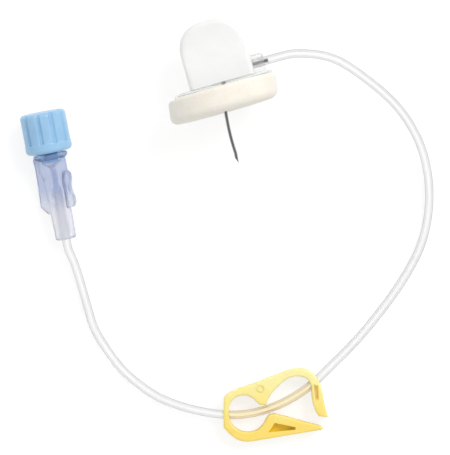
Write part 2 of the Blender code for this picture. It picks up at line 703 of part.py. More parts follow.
def make_luer_cap(luer):
    """Lofted from its rim up the outside, over the closed top; the inside is cut by a turned cutter."""
    rings = []
    for k in range(CAP_RIM_STEPS + 1):
        a = math.pi / 2.0 * k / CAP_RIM_STEPS
        height = CAP_RIM_RADIUS * (1.0 - math.cos(a))
        rings.append(cap_outer_ring(height, CAP_RIM_RADIUS * (1.0 - math.sin(a))))
    rings += [cap_outer_ring(CAP_RING_HEIGHT), cap_outer_ring(CAP_RING_HEIGHT + CAP_RING_SLOPE)]
    for k in range(QUARTER_STEPS + 1):
        a = math.pi / 2.0 * k / QUARTER_STEPS
        height = CAP_LENGTH - CAP_EDGE_RADIUS * (1.0 - math.sin(a))
        rings.append(cap_outer_ring(height, CAP_EDGE_RADIUS * (1.0 - math.cos(a))))
    bm = bmesh.new()
    join_rings(bm, rings)
    cap = make_object("luer_cap", bm, luer, make_material("cap_blue", (0.26, 0.60, 0.92), 0.3))

    skirt = CAP_SKIRT_BORE / 2.0
    floor = CAP_LENGTH - CAP_TOP_THICKNESS
    inside = CAP_INSIDE_RADIUS
    below = CAP_CONE_TIP - OVERCUT
    cone_top = luer_bore_radius(LUER_MOUTH) - BORE_GAP
    cone_tip = luer_bore_radius(CAP_CONE_TIP) - BORE_GAP
    hollow = [
        (cone_tip, below), (skirt, below), (skirt, floor - inside), (skirt - inside, floor),
        (cone_top + inside, floor), (cone_top, floor - inside), (cone_top, LUER_MOUTH),
    ]
    hollow_cutter = make_cutter("cap_hollow", turned_body(hollow, CAP_BORE_SEGMENTS), luer)
    combine(cap, hollow_cutter, "DIFFERENCE")
    root = floor + CAP_TOP_THICKNESS / 3.0
    cone = [
        (0.0, root), (cone_top, root), (cone_top, LUER_MOUTH), (cone_tip, CAP_CONE_TIP + CAP_CONE_CHAMFER),
        (cone_tip - CAP_CONE_CHAMFER, CAP_CONE_TIP), (0.0, CAP_CONE_TIP),
    ]
    combine(cap, make_cutter("cap_cone", turned_body(cone, CAP_BORE_SEGMENTS), luer), "UNION")
    flatten_faces(cap)


# Clamp


def clamp_outline():
    """The strip's outline, smooth between its marked corners."""
    points = [(Vector((entry[0], entry[1], 0.0)), len(entry) > 2) for entry in CLAMP_OUTLINE]
    points.append(points[0])
    outline = []
    stretch = [points[0][0]]
    for place, is_corner in points[1:]:
        stretch.append(place)
        if is_corner:
            if len(stretch) == 2:
                outline.append(stretch[0])
            else:
                outline += smooth_through(stretch, CLAMP_CURVE_STEPS)[:-1]
            stretch = [place]
    return [point.xy for point in outline]


def strip_thickness(outline, here, inward):
    """How far it is straight across the strip from a point of its outline."""
    start = here + inward * SEAT_GAP
    end = here + inward * CLAMP_HEIGHT
    crossings = [intersect_line_line_2d(start, end, a, b) for a, b in zip(outline, outline[1:] + outline[:1])]
    return min(((place - here).length for place in crossings if place), default=CLAMP_HEIGHT)


def inset_outline(outline, share):
    """The outline drawn in all round by a share of the edge radius, and by less where the strip is thin."""
    inset = []
    count = len(outline)
    for i, here in enumerate(outline):
        arriving = (here - outline[i - 1]).normalized()
        leaving = (outline[(i + 1) % count] - here).normalized()
        inward = Vector((-arriving.y - leaving.y, arriving.x + leaving.x)).normalized()
        across = inward.dot(Vector((-leaving.y, leaving.x)))
        thickness = strip_thickness(outline, here, inward)
        inset.append(here + inward * share * min(CLAMP_EDGE_RADIUS / across, CLAMP_EDGE_LIMIT * thickness))
    return inset


def clamp_body():
    """The strip's outline raised to its height, with rounded edges round both flat faces."""
    outline = clamp_outline()
    section = [(CLAMP_FACE_BAND, 0.0)]
    for k in range(CLAMP_EDGE_STEPS + 1):
        a = math.pi / 2.0 * k / CLAMP_EDGE_STEPS
        section.append((1.0 - math.sin(a), CLAMP_EDGE_RADIUS * (1.0 - math.cos(a))))
    low, high = [], []
    for share, rise in section:
        ring = inset_outline(outline, share)
        low.append([Vector((point.x, point.y, rise)) for point in ring])
        high.append([Vector((point.x, point.y, CLAMP_HEIGHT - rise)) for point in ring])
    bm = bmesh.new()
    join_rings(bm, low + high[::-1])
    return bm


def tube_hole(first, last):
    """A straight hole a little wider than the tube, between two points of its centre line."""
    radius = TUBE_OD / 2.0 + TUBE_HOLE_GAP
    along = (last - first).normalized()
    side = Vector((0.0, 0.0, 1.0)).cross(along).normalized()
    up = along.cross(side)
    angles = [2.0 * math.pi * k / BORE_SEGMENTS for k in range(BORE_SEGMENTS)]
    bm = bmesh.new()
    spokes = [(side * math.cos(a) + up * math.sin(a)) * radius for a in angles]
    join_rings(bm, [[end + spoke for spoke in spokes] for end in (first, last)])
    return bm


def recess(outline, depth, floor_share):
    """A cutter for a recess in the clamp's upper face, drawn in evenly to its floor as a mould needs."""
    middle_x = sum(x for x, _ in outline) / len(outline)
    middle_y = sum(y for _, y in outline) / len(outline)
    rings = []
    for height, share in ((-depth, floor_share), (OVERCUT, 1.0 + (1.0 - floor_share) * OVERCUT / depth)):
        spots = [(middle_x + (x - middle_x) * share, middle_y + (y - middle_y) * share) for x, y in outline]
        rings.append([Vector((x, y, CLAMP_HEIGHT + height)) for x, y in spots])
    bm = bmesh.new()
    join_rings(bm, rings)
    return bm


def mould_mark():
    """A cutter for the round line that a mould pin leaves."""
    outer = CLAMP_MARK_DIAMETER / 2.0
    inner = outer - CLAMP_MARK_LINE
    low = CLAMP_HEIGHT - CLAMP_MARK_DEPTH
    high = CLAMP_HEIGHT + OVERCUT
    mark = turned_body([(inner, low), (outer, low), (outer, high), (inner, high)], BORE_SEGMENTS)
    bmesh.ops.translate(mark, verts=mark.verts, vec=(CLAMP_MARK[0], CLAMP_MARK[1], 0.0))
    return mark


def make_clamp(frame, route):
    yellow = make_material("clamp_yellow", (0.94, 0.76, 0.16), 0.35)
    clamp = make_object("clamp", clamp_body(), frame, yellow)
    pocket = recess(CLAMP_POCKET, CLAMP_POCKET_DEPTH, CLAMP_POCKET_FLOOR)
    combine(clamp, make_cutter("wedge_pocket", pocket, frame), "DIFFERENCE")
    groove = recess(CLAMP_GROOVE, CLAMP_GROOVE_DEPTH, CLAMP_GROOVE_FLOOR)
    combine(clamp, make_cutter("hook_groove", groove, frame), "DIFFERENCE")
    combine(clamp, make_cutter("mould_mark", mould_mark(), frame), "DIFFERENCE")

    place = Vector(CLAMP_PLACE)
    turn = Matrix.Rotation(-CLAMP_TURN, 3, "Z")
    reach = max(y for _, y, *_ in CLAMP_OUTLINE)
    for name, low, high in CLAMP_HOLES:
        local = [(turn @ (point - place), point) for point in route]
        inside = [point for at, point in local if low <= at.x <= high and abs(at.y) < reach]
        combine(clamp, make_cutter(name, tube_hole(inside[0], inside[-1])), "DIFFERENCE")
    flatten_faces(clamp)


# Tube


def port_point(head_frame, x):
    return head_frame @ Vector((x, 0.0, PORT_AXIS_HEIGHT))


def tube_route(head_frame, luer_frame):
    """The whole centre line as a fine curve: out of the port, along the free route and into the sleeve."""
    start = PORT_REACH + NEEDLE_LEG_PROUD + TUBE_END_GAP
    seated = SLEEVE_END + SLEEVE_SOCKET_DEPTH - TUBE_END_GAP
    points = [port_point(head_frame, x) for x in (start, start + TUBE_STRAIGHT_RUN)]
    points += [Vector(place) for place in TUBE_ROUTE]
    for place in (SLEEVE_END - TUBE_STRAIGHT_RUN, SLEEVE_END, (SLEEVE_END + seated) / 2.0, seated):
        points.append(luer_frame @ Vector((0.0, 0.0, place)))
    return smooth_through(points, TUBE_CURVE_STEPS)


def make_tube(route):
    curve = bpy.data.curves.new("tube", "CURVE")
    curve.dimensions = "3D"
    curve.bevel_depth = TUBE_OD / 2.0 * MM
    curve.bevel_resolution = 2
    curve.use_fill_caps = True
    points = evenly_spaced(route, TUBE_STEP)
    spline = curve.splines.new("POLY")
    spline.points.add(len(points) - 1)
    for spot, point in zip(spline.points, points):
        spot.co = (*(point * MM), 1.0)
    tube = bpy.data.objects.new("tube", curve)
    curve.materials.append(make_material("tube_clear", (0.90, 0.92, 0.92), 0.15, alpha=0.5))
    bpy.context.scene.collection.objects.link(tube)


def frame_matrix(place, rotation):
    return Matrix.Translation(Vector(place)) @ rotation.to_matrix().to_4x4()


def build():
    remove_everything()
    head = make_empty("head_frame", HEAD_PLACE, (-math.pi / 2.0, 0.0, 0.0))
    luer = make_empty("luer_frame", LUER_PLACE, (LUER_PITCH - math.pi / 2.0, 0.0, LUER_TURN))
    clamp = make_empty("clamp_frame", CLAMP_PLACE, (0.0, 0.0, CLAMP_TURN))
    head_matrix = frame_matrix(HEAD_PLACE, head.rotation_euler)
    luer_matrix = frame_matrix(LUER_PLACE, luer.rotation_euler)
    route = tube_route(head_matrix, luer_matrix)
    make_needle(head)
    make_hub(head)
    make_foam_pad(head)
    make_grip(head)
    make_tube(route)
    make_clamp(clamp, route)
    make_luer_connector(luer)
    make_luer_cap(luer)


build()
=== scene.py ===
"""Looks for the port needle set: camera, light, materials, and soft pieces in place of two CAD solids."""

import math

import bmesh
import bpy
from mathutils import Matrix, Vector, noise


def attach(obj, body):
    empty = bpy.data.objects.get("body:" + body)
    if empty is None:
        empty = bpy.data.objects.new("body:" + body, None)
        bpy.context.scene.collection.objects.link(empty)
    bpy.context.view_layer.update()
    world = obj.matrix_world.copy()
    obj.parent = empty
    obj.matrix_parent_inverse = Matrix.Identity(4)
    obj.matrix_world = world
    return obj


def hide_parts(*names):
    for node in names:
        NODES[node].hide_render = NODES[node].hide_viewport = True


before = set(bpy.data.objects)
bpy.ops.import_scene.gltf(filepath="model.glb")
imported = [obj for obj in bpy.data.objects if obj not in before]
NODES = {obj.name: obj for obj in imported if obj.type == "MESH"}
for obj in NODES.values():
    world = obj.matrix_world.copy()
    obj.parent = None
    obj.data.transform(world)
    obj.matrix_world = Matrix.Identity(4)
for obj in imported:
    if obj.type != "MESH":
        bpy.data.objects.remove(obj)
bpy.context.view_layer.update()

# Lengths below are in millimetres where nothing else is said, and become metres as they are used
MM = 0.001
UP = Vector((0.0, 0.0, 1.0))
SCENE = bpy.context.scene
BODY = "needle_set"
SHARP_ANGLE = math.radians(40.0)

# Camera straight above the table, in metres, turned to the photograph's angle
CAMERA_PLACE = (-0.00806, -0.03235, 1.0)
CAMERA_TURN = math.radians(-15.68)
CAMERA_FAR_END = 20.0
PIXEL_AT_TABLE = 0.00025
IMAGE_HEIGHT = 455
SENSOR_HEIGHT = 36.0

# Foam pad, in the head's own frame
FOAM_DIAMETER = 27.6
FOAM_THICKNESS = 6.0
FOAM_OFF_CENTRE = -0.5
FOAM_CREEP = -0.9
FOAM_TOP_RADIUS = 0.9
FOAM_UNDERSIDE_RADIUS = 2.0
FOAM_HOLE_GAP = 0.15
FOAM_TOP_SINK = 0.02
FOAM_SEGMENTS = 168
FOAM_EDGE_STEPS = 8
FOAM_WALL_STEPS = 8
FOAM_FLAT_RINGS = (0.1, 0.3, 0.5, 0.7, 0.82)
FOAM_SHARP_ANGLE = math.radians(60.0)

# How uneven the foam's edge is, and the noise that says where
FOAM_UNEVEN = 0.10
FOAM_NOISE_ACROSS = 0.22
FOAM_NOISE_DOWN = 0.3
FOAM_NOISE_BIAS = 0.6

# Needle and the hub's port in the same frame, and the place of that frame
NEEDLE_OD = 0.9
NEEDLE_LEAN = math.radians(14.8)
NEEDLE_BOW_RADIUS = 55.0
PORT_REACH = 11.3
PORT_AXIS_HEIGHT = 3.37
SOCKET_DEPTH = 3.4
HEAD_PLACE = Vector((1.05, 1.2, FOAM_DIAMETER / 2.0))

# Luer. Places along its axis are measured from the cap's open rim, minus towards the tube.
CAP_RIM_RADIUS = 1.0
CAP_RIM_CENTRE = 4.8
LUER_PITCH = math.radians(5.0)
LUER_TURN = math.radians(-5.0)
LUER_HEIGHT = CAP_RIM_RADIUS * (1.0 - math.sin(LUER_PITCH)) + CAP_RIM_CENTRE * math.cos(LUER_PITCH)
LUER_PLACE = Vector((-44.97, -2.53, LUER_HEIGHT))
SLEEVE_END = -22.0
SLEEVE_SOCKET_DEPTH = 12.0

# Where along the luer the barrel's tint and the painted blue of the cap's cone, seen through the wall, come
# in, and where that blue goes out again
BARREL_TINT_START = (-15.0, -9.0)
PAINTED_CAP_BLUE_START = (-3.4, -1.6)
PAINTED_CAP_BLUE_END = (0.1, 1.2)

# Clamp, with the outlines of its two recesses, which run clockwise, and how far behind their walls
# the painted shade of a recess fades out
CLAMP_FACE = 5.6
CLAMP_PLACE = Vector((-20.4, -77.25, 0.0))
CLAMP_TURN = math.radians(-15.7)
CLAMP_FRAME = Matrix.Translation(CLAMP_PLACE) @ Matrix.Rotation(CLAMP_TURN, 4, "Z")
CLAMP_POCKET = ((12.05, -2.0), (17.35, -3.1), (17.35, -3.75), (10.5, -4.35))
CLAMP_POCKET_DEPTH = 2.6
CLAMP_GROOVE = ((21.75, 7.6), (22.95, 7.3), (23.05, 3.6), (22.25, 3.3))
CLAMP_GROOVE_DEPTH = 1.2
RECESS_SHADE_FADE = (0.15, 0.35)

# The stretch across the clamp over which its yellow grows lighter as painted light, and the ball
# in which the clamp's yellow is painted on the tube as a reflection
CLAMP_PAINTED_PALENESS_SPAN = (-4.0, 9.0)
CLAMP_MIDDLE = CLAMP_FRAME @ Vector((11.3, 1.0, 2.8))
CLAMP_REFLECTION_BALL = 13.0
CLAMP_REFLECTION_CORE = 0.85

# Tube
TUBE_OUTER = 1.05
TUBE_LUMEN = 0.58
TUBE_SIDES = 32
TUBE_CURVE_STEPS = 16
TUBE_RING_STEP = 0.6
TUBE_END_GAP = 0.1
TUBE_PORT_RUN = 3.75
TUBE_SLEEVE_RUN = 2.5
TUBE_UNEVEN = 0.006
TUBE_NOISE_STEP = 0.05
TUBE_NOISE_ROW = 7.3
TUBE_ROUTE = (
    (20.1, 4.3, 13.6), (28.5, 0.9, 12.6), (35.5, -6.4, 10.6), (41.8, -16.4, 7.4), (44.4, -27.1, 4.2),
    (43.2, -38.3, 2.0), (38.6, -48.7, 1.2), (31.1, -57.0, 1.1), (18.0, -67.0, 1.3), (7.8, -72.9, 2.3),
    (1.4, -76.2, 2.8), (-4.8, -78.1, 2.8), (-10.5, -78.8, 2.8), (-16.4, -78.4, 2.8), (-22.1, -76.7, 2.8),
    (-28.7, -73.5, 2.2), (-35.2, -68.9, 1.3), (-39.1, -64.5, 1.1), (-42.7, -58.8, 1.1), (-46.2, -48.2, 1.2),
    (-46.45, -42.4, 1.6), (-46.45, -36.5, 2.3), (-46.6, -31.0, 3.0),
)

# Colours. Tones run from the darker to the lighter one, and the tube's pairs from its middle to its edges,
# whose darker colour is painted shade.
GRIP_TONES = ((0.855, 0.86, 0.855), (0.885, 0.885, 0.88))
FOAM_TONES = ((0.90, 0.84, 0.735), (0.955, 0.915, 0.84))
# Painted reflection on the needle: a dark core that keeps the drawn lines' tones, and a bright edge colour
STEEL_PAINTED_DARK_DRAWN_TONES = ((0.09, 0.09, 0.095), (0.15, 0.15, 0.155))
STEEL_PAINTED_BRIGHT_EDGE = (0.62, 0.62, 0.63)
HUB_TONES = ((0.95, 0.96, 0.96), (0.96, 0.97, 0.97))
# The tube's middle stays clear, and its darker edge colour is painted shade
TUBE_CLEAR_WITH_PAINTED_EDGE_SHADE = ((1.0, 1.0, 1.0), (0.55, 0.56, 0.555))
# The clamp's yellow painted on the tube as a reflection, with painted shade at its edges
TUBE_PAINTED_CLAMP_REFLECTION = ((1.0, 0.95, 0.78), (0.66, 0.50, 0.29))
CLAMP_TONES = ((0.95, 0.72, 0.165), (0.955, 0.785, 0.26), (0.96, 0.86, 0.40))
# Painted shade down in the clamp's pocket and its groove
CLAMP_POCKET_PAINTED_SHADE = (1.0, 0.78, 0.05)
CLAMP_GROOVE_PAINTED_SHADE = (0.96, 0.80, 0.30)
VIOLET_TONES = ((0.90, 0.91, 1.0), (0.98, 0.985, 1.0))
VIOLET_BARREL = (0.44, 0.54, 0.80)
# The cap's blue cone, painted on the connector where it shows through the wall
VIOLET_PAINTED_CAP_BLUE = (0.34, 0.57, 0.86)
# Painted shade at the connector's edges
VIOLET_PAINTED_EDGE_SHADE = (0.34, 0.38, 0.68)
CAP_TONES = ((0.31, 0.54, 0.775), (0.345, 0.585, 0.815))
FLOOR_TONES = ((0.90, 0.90, 0.90), (0.91, 0.91, 0.91))
WHITE = (1.0, 1.0, 1.0, 1.0)

# Floor, whose glow stays where a shadow takes its shaded colour away, also as seen through clear plastic
FLOOR_REACH = 4000.0
FLOOR_SHADED = (0.31, 0.31, 0.31)
FLOOR_GLOW = 0.75
FLOOR_SHADED_THROUGH = (0.10, 0.10, 0.10)
FLOOR_GLOW_THROUGH = 0.91

# Light: one soft key, and a dome that is brighter from the side beyond the picture's top right
KEY_TOWARDS = Vector((1.233, 0.693, 1.9))
KEY_ENERGY = 1.02
KEY_ANGLE = math.radians(24.0)
DOME_TOWARDS = Vector((0.618, 0.786, 0.0))
DOME_STOPS = ((0.0, 0.15), (0.08, 0.42), (0.24, 0.91), (0.80, 0.91), (0.93, 0.65), (1.0, 0.50))
DOME_FAR_SIDE = 0.74
DOME_NEAR_SIDE = 1.16

# The middle of a noise's range, over which tones and roughness are spread
NOISE_LOW = 0.3
NOISE_HIGH = 0.7


# Places in the part's frame


def head_point(x, y, z):
    """A point of the head's own frame, whose Z runs up the grip."""
    return HEAD_PLACE + Vector((x, z, -y))


def luer_axis():
    """The way along the luer, from the tube towards the cap's top."""
    turn = Matrix.Rotation(LUER_TURN, 3, "Z") @ Matrix.Rotation(LUER_PITCH - math.pi / 2.0, 3, "X")
    return turn @ UP


def luer_point(place):
    return LUER_PLACE + luer_axis() * place


def needle_offset(depth):
    """How far the bowed needle's centre lies from the hub's axis at a depth below the platform."""
    bow = depth * depth / (2.0 * NEEDLE_BOW_RADIUS * math.cos(NEEDLE_LEAN) ** 3)
    return bow - depth * math.tan(NEEDLE_LEAN)


# Node helpers


class Nodes:
    """Short calls for the nodes of one tree, whose textures read the named coordinates."""

    def __init__(self, tree, coordinates):
        self.tree = tree
        self.place = self.add("TexCoord").outputs[coordinates]

    def add(self, kind, inputs=None, **settings):
        """A new node with its settings, and with its inputs linked or given plain values."""
        node = self.tree.nodes.new("ShaderNode" + kind)
        for name, value in settings.items():
            setattr(node, name, value)
        for name, value in (inputs or {}).items():
            if isinstance(value, bpy.types.NodeSocket):
                self.tree.links.new(value, node.inputs[name])
            else:
                node.inputs[name].default_value = value
        return node

    def maths(self, kind, first, second):
        return self.add("Math", {0: first, 1: second}, operation=kind).outputs["Value"]

    def spread(self, value, low, high, to_low, to_high):
        """A value whose range from low to high is drawn out over another range."""
        ends = {"From Min": low, "From Max": high, "To Min": to_low, "To Max": to_high}
        return self.add("MapRange", {"Value": value, **ends}).outputs["Result"]

    def vary(self, value, to_low, to_high):
        return self.spread(value, NOISE_LOW, NOISE_HIGH, to_low, to_high)

    def mix(self, share, first, second):
        first, second = ((*end, 1.0) if isinstance(end, tuple) else end for end in (first, second))
        node = self.add("Mix", {"Factor": share, "A": first, "B": second}, data_type="RGBA")
        return node.outputs["Result"]

    def ramp(self, value, *stops):
        node = self.add("ValToRGB", {"Fac": value})
        while len(node.color_ramp.elements) < len(stops):
            node.color_ramp.elements.new(0.5)
        for element, (at, colour) in zip(node.color_ramp.elements, stops):
            element.position = at
            element.color = (*colour, 1.0)
        return node.outputs["Color"]

    def tones(self, value, darker, lighter):
        return self.ramp(value, (NOISE_LOW, darker), (NOISE_HIGH, lighter))

    def noise(self, scale, detail=3.0, place=None):
        inputs = {"Scale": scale, "Detail": detail, "Vector": place or self.place}
        return self.add("TexNoise", inputs).outputs["Fac"]

    def stretched(self, scale, turn=0.0):
        """The shaded place, turned about Z and scaled along each axis."""
        inputs = {"Vector": self.place, "Scale": scale, "Rotation": (0.0, 0.0, turn)}
        return self.add("Mapping", inputs).outputs["Vector"]

    def cells(self, scale):
        return self.add("TexVoronoi", {"Scale": scale, "Vector": self.place}).outputs["Distance"]

    def height(self):
        return self.add("SeparateXYZ", {"Vector": self.place}).outputs["Z"]

    def towards(self, direction):
        """How far the shaded place lies from the origin in a direction."""
        inputs = {0: self.place, 1: direction}
        return self.add("VectorMath", inputs, operation="DOT_PRODUCT").outputs["Value"]

    def along(self, start, direction):
        """How far in metres the shaded place lies from a point in a direction."""
        return self.maths("SUBTRACT", self.towards(direction), (start * MM).dot(direction))

    def ball(self, centre, reach, core):
        """One in the core of a ball, which is a share of its radius, falling to nought at its surface."""
        inputs = {0: self.place, 1: centre * MM}
        distance = self.add("VectorMath", inputs, operation="DISTANCE").outputs["Value"]
        return self.spread(distance, reach * MM * core, reach * MM, 1.0, 0.0)

    def recess(self, outline, depth):
        """The mask of a recess's painted shade: one inside a recess of the clamp, falling to nought just
        behind its walls and floor.
        """
        near, far = RECESS_SHADE_FADE
        floor = CLAMP_FACE - depth
        height = self.height()
        below_face = self.spread(height, (CLAMP_FACE - far - near) * MM, (CLAMP_FACE - near) * MM, 1.0, 0.0)
        above_floor = self.spread(height, (floor - far) * MM, (floor - near) * MM, 0.0, 1.0)
        share = self.maths("MINIMUM", below_face, above_floor)
        for start, end in zip(outline, outline[1:] + outline[:1]):
            outward = Vector((start[1] - end[1], end[0] - start[0], 0.0)).normalized()
            beyond = self.along(CLAMP_FRAME @ Vector((*start, 0.0)), CLAMP_FRAME.to_3x3() @ outward)
            share = self.maths("MINIMUM", share, self.spread(beyond, near * MM, far * MM, 1.0, 0.0))
        return share

    def facing(self):
        """Nought where a wall is seen square on, rising to one at its edge."""
        return self.add("LayerWeight", {"Blend": 0.5}).outputs["Facing"]

    def background_rays(self):
        """One for camera, glossy and transmission rays, and nought for the rays that carry light."""
        rays = self.add("LightPath").outputs
        seen = self.maths("MAXIMUM", rays["Is Camera Ray"], rays["Is Glossy Ray"])
        return self.maths("MAXIMUM", seen, rays["Is Transmission Ray"])


class Shade(Nodes):
    """One material, with short calls for its Principled shader too."""

    def __init__(self, name, **values):
        self.material = bpy.data.materials.new(name)
        self.material.use_nodes = True
        super().__init__(self.material.node_tree, "Object")
        self.shader = self.tree.nodes["Principled BSDF"]
        for key, value in values.items():
            self.shader.inputs[key.replace("_", " ")].default_value = value

    def feed(self, socket, value):
        self.tree.links.new(value, self.shader.inputs[socket])

    def bump(self, height, distance, strength):
        """Raise the surface by a height, on top of the bumps that it has."""
        node = self.add("Bump", {"Height": height, "Distance": distance, "Strength": strength})
        normal = self.shader.inputs["Normal"]
        for before in [link.from_socket for link in self.tree.links if link.to_socket == normal]:
            self.tree.links.new(before, node.inputs["Normal"])
        self.feed("Normal", node.outputs["Normal"])


def dress(node, shade):
    """Give a CAD node that stays in view its material."""
    for slot in NODES[node].material_slots:
        slot.material = shade.material


# Materials. A noise's scale is in waves a metre, and a bump's distance is in metres.


def grip_white():
    shade = Shade(
        "grip_satin_white", IOR=1.5,
        Subsurface_Weight=0.12, Subsurface_Scale=0.0007, Subsurface_Radius=(1.0, 0.95, 0.9),
    )
    shade.feed("Base Color", shade.tones(shade.noise(260.0, detail=4.0), *GRIP_TONES))
    shade.feed("Roughness", shade.vary(shade.noise(900.0), 0.42, 0.55))
    shade.bump(shade.noise(5200.0, detail=2.0), distance=0.00003, strength=0.2)
    return shade


def foam_cream():
    shade = Shade(
        "foam_fine_cream", Sheen_Weight=0.15, Sheen_Roughness=0.6,
        Subsurface_Weight=0.35, Subsurface_Scale=0.0015, Subsurface_Radius=(1.0, 0.8, 0.55),
    )
    darker, lighter = FOAM_TONES
    fine = shade.vary(shade.noise(1900.0, detail=2.0), -0.12, 0.12)
    tone = shade.maths("ADD", shade.noise(150.0), fine)
    shade.feed("Base Color", shade.ramp(tone, (0.25, darker), (0.75, lighter)))
    shade.feed("Roughness", shade.vary(shade.noise(700.0), 0.82, 0.98))
    shade.bump(shade.cells(2600.0), distance=0.00007, strength=0.4)
    shade.bump(shade.noise(600.0, detail=4.0), distance=0.00012, strength=0.3)
    return shade


def needle_steel():
    """Polished steel with a painted reflection: dark seen square on and bright towards its edges."""
    shade = Shade("needle_drawn_steel", Metallic=1.0)
    drawn = shade.noise(1.0, place=shade.stretched((9000.0, 160.0, 9000.0)))
    # Painted reflection: the steel's colour turns bright towards its edges
    edges = shade.spread(shade.facing(), 0.08, 0.42, 0.0, 1.0)
    shade.feed("Base Color", shade.mix(edges, shade.tones(drawn, *STEEL_PAINTED_DARK_DRAWN_TONES), STEEL_PAINTED_BRIGHT_EDGE))
    shade.feed("Roughness", shade.vary(drawn, 0.05, 0.10))
    return shade


def hub_clear():
    """A clear moulding, which bends the picture of the needle in it only a little, as it is bonded to it."""
    shade = Shade("hub_clear_moulded", Transmission_Weight=0.73, IOR=1.25, Alpha=0.5)
    wave = shade.noise(40.0, detail=2.0)
    shade.feed("Base Color", shade.tones(wave, *HUB_TONES))
    shade.feed("Roughness", shade.vary(wave, 0.02, 0.05))
    return shade


def tube_clear():
    """Soft clear tube with a satin skin, painted shade at its edges, and a painted reflection of the clamp's
    yellow near it.
    """
    shade = Shade("tube_clear_flexible", Transmission_Weight=1.0, IOR=1.22)
    # Painted shade: the tube's colour darkens towards its edges
    clear = shade.ramp(shade.facing(), *zip((0.14, 0.56), TUBE_CLEAR_WITH_PAINTED_EDGE_SHADE))
    painted_clamp_reflection = shade.ramp(shade.facing(), *zip((0.12, 0.54), TUBE_PAINTED_CLAMP_REFLECTION))
    # Painted reflection of the clamp's yellow on the tube near the clamp
    painted_reflection_share = shade.ball(CLAMP_MIDDLE, CLAMP_REFLECTION_BALL, CLAMP_REFLECTION_CORE)
    shade.feed("Base Color", shade.mix(painted_reflection_share, clear, painted_clamp_reflection))
    shade.feed("Roughness", shade.vary(shade.noise(40.0, detail=2.0), 0.29, 0.31))
    return shade


def clamp_yellow():
    """Translucent yellow, with painted light making it lighter on the broad body, and painted shade down in
    the wedge's pocket and the hook's groove.
    """
    shade = Shade(
        "clamp_warm_yellow", IOR=1.5,
        Subsurface_Weight=0.4, Subsurface_Scale=0.0012, Subsurface_Radius=(1.0, 0.62, 0.10),
    )
    # Painted light: the yellow turns lighter across the clamp towards its broad body
    low, high = CLAMP_PAINTED_PALENESS_SPAN
    across = shade.along(CLAMP_PLACE, CLAMP_FRAME.to_3x3() @ Vector((0.0, 1.0, 0.0)))
    drift = shade.vary(shade.noise(90.0), -0.25, 0.25)
    painted_paleness = shade.maths("ADD", shade.spread(across, low * MM, high * MM, 0.0, 1.0), drift)
    body = shade.ramp(painted_paleness, *zip((0.0, 0.5, 1.0), CLAMP_TONES))
    # Painted shade down in the wedge's pocket and the hook's groove
    body = shade.mix(shade.recess(CLAMP_POCKET, CLAMP_POCKET_DEPTH), body, CLAMP_POCKET_PAINTED_SHADE)
    body = shade.mix(shade.recess(CLAMP_GROOVE, CLAMP_GROOVE_DEPTH), body, CLAMP_GROOVE_PAINTED_SHADE)
    shade.feed("Base Color", body)
    shade.feed("Roughness", shade.vary(shade.noise(800.0), 0.30, 0.42))
    shade.bump(shade.noise(3800.0, detail=2.0), distance=0.00002, strength=0.2)
    return shade


def connector_violet():
    """Milky violet with flow streaks along the moulding, painted shade at its edges, and the cap's blue cone
    painted on where it shows through.
    """
    shade = Shade("connector_pale_violet", Transmission_Weight=0.73, IOR=1.36)
    streaks = shade.noise(1.0, place=shade.stretched((900.0, 45.0, 900.0), LUER_TURN))
    place = shade.along(LUER_PLACE, luer_axis())

    def between(ends, to_low, to_high):
        return shade.spread(place, ends[0] * MM, ends[1] * MM, to_low, to_high)

    on_barrel = between(BARREL_TINT_START, 0.0, 0.65)
    body = shade.mix(on_barrel, shade.tones(streaks, *VIOLET_TONES), VIOLET_BARREL)
    # Painted light: the blue of the cap's cone, seen through the wall beside it
    painted_cap_blue_starts = between(PAINTED_CAP_BLUE_START, 0.0, 0.7)
    painted_cap_blue_ends = between(PAINTED_CAP_BLUE_END, 1.0, 0.0)
    body = shade.mix(shade.maths("MULTIPLY", painted_cap_blue_starts, painted_cap_blue_ends), body, VIOLET_PAINTED_CAP_BLUE)
    # Painted shade: the connector's colour turns darker and bluer towards its edges
    edges = shade.spread(shade.facing(), 0.4, 0.8, 0.0, 0.85)
    shade.feed("Base Color", shade.mix(edges, body, VIOLET_PAINTED_EDGE_SHADE))
    shade.feed("Roughness", shade.vary(streaks, 0.08, 0.15))
    return shade


def cap_blue():
    shade = Shade(
        "cap_light_blue", IOR=1.5,
        Subsurface_Weight=0.3, Subsurface_Scale=0.0010, Subsurface_Radius=(0.35, 0.65, 1.0),
    )
    shade.feed("Base Color", shade.tones(shade.noise(240.0), *CAP_TONES))
    shade.feed("Roughness", shade.vary(shade.noise(900.0), 0.285, 0.36))
    shade.bump(shade.noise(4200.0, detail=2.0), distance=0.00002, strength=0.06)
    return shade


# Mesh helpers


def smooth_through(points, steps):
    """Points on one smooth open curve through the given ones, spaced in step with their distances."""
    before = points[0] * 2.0 - points[1]
    after = points[-1] * 2.0 - points[-2]
    guide = [before, *points, after]
    curve = []
    for a, b, c, d in zip(guide, guide[1:], guide[2:], guide[3:]):
        knot_b = math.sqrt((b - a).length)
        knot_c = knot_b + math.sqrt((c - b).length)
        knot_d = knot_c + math.sqrt((d - c).length)
        for k in range(steps):
            t = knot_b + (knot_c - knot_b) * k / steps
            ab = a.lerp(b, t / knot_b)
            bc = b.lerp(c, (t - knot_b) / (knot_c - knot_b))
            cd = c.lerp(d, (t - knot_c) / (knot_d - knot_c))
            abc = ab.lerp(bc, t / knot_c)
            bcd = bc.lerp(cd, (t - knot_b) / (knot_d - knot_b))
            curve.append(abc.lerp(bcd, (t - knot_b) / (knot_c - knot_b)))
    curve.append(points[-1].copy())
    return curve


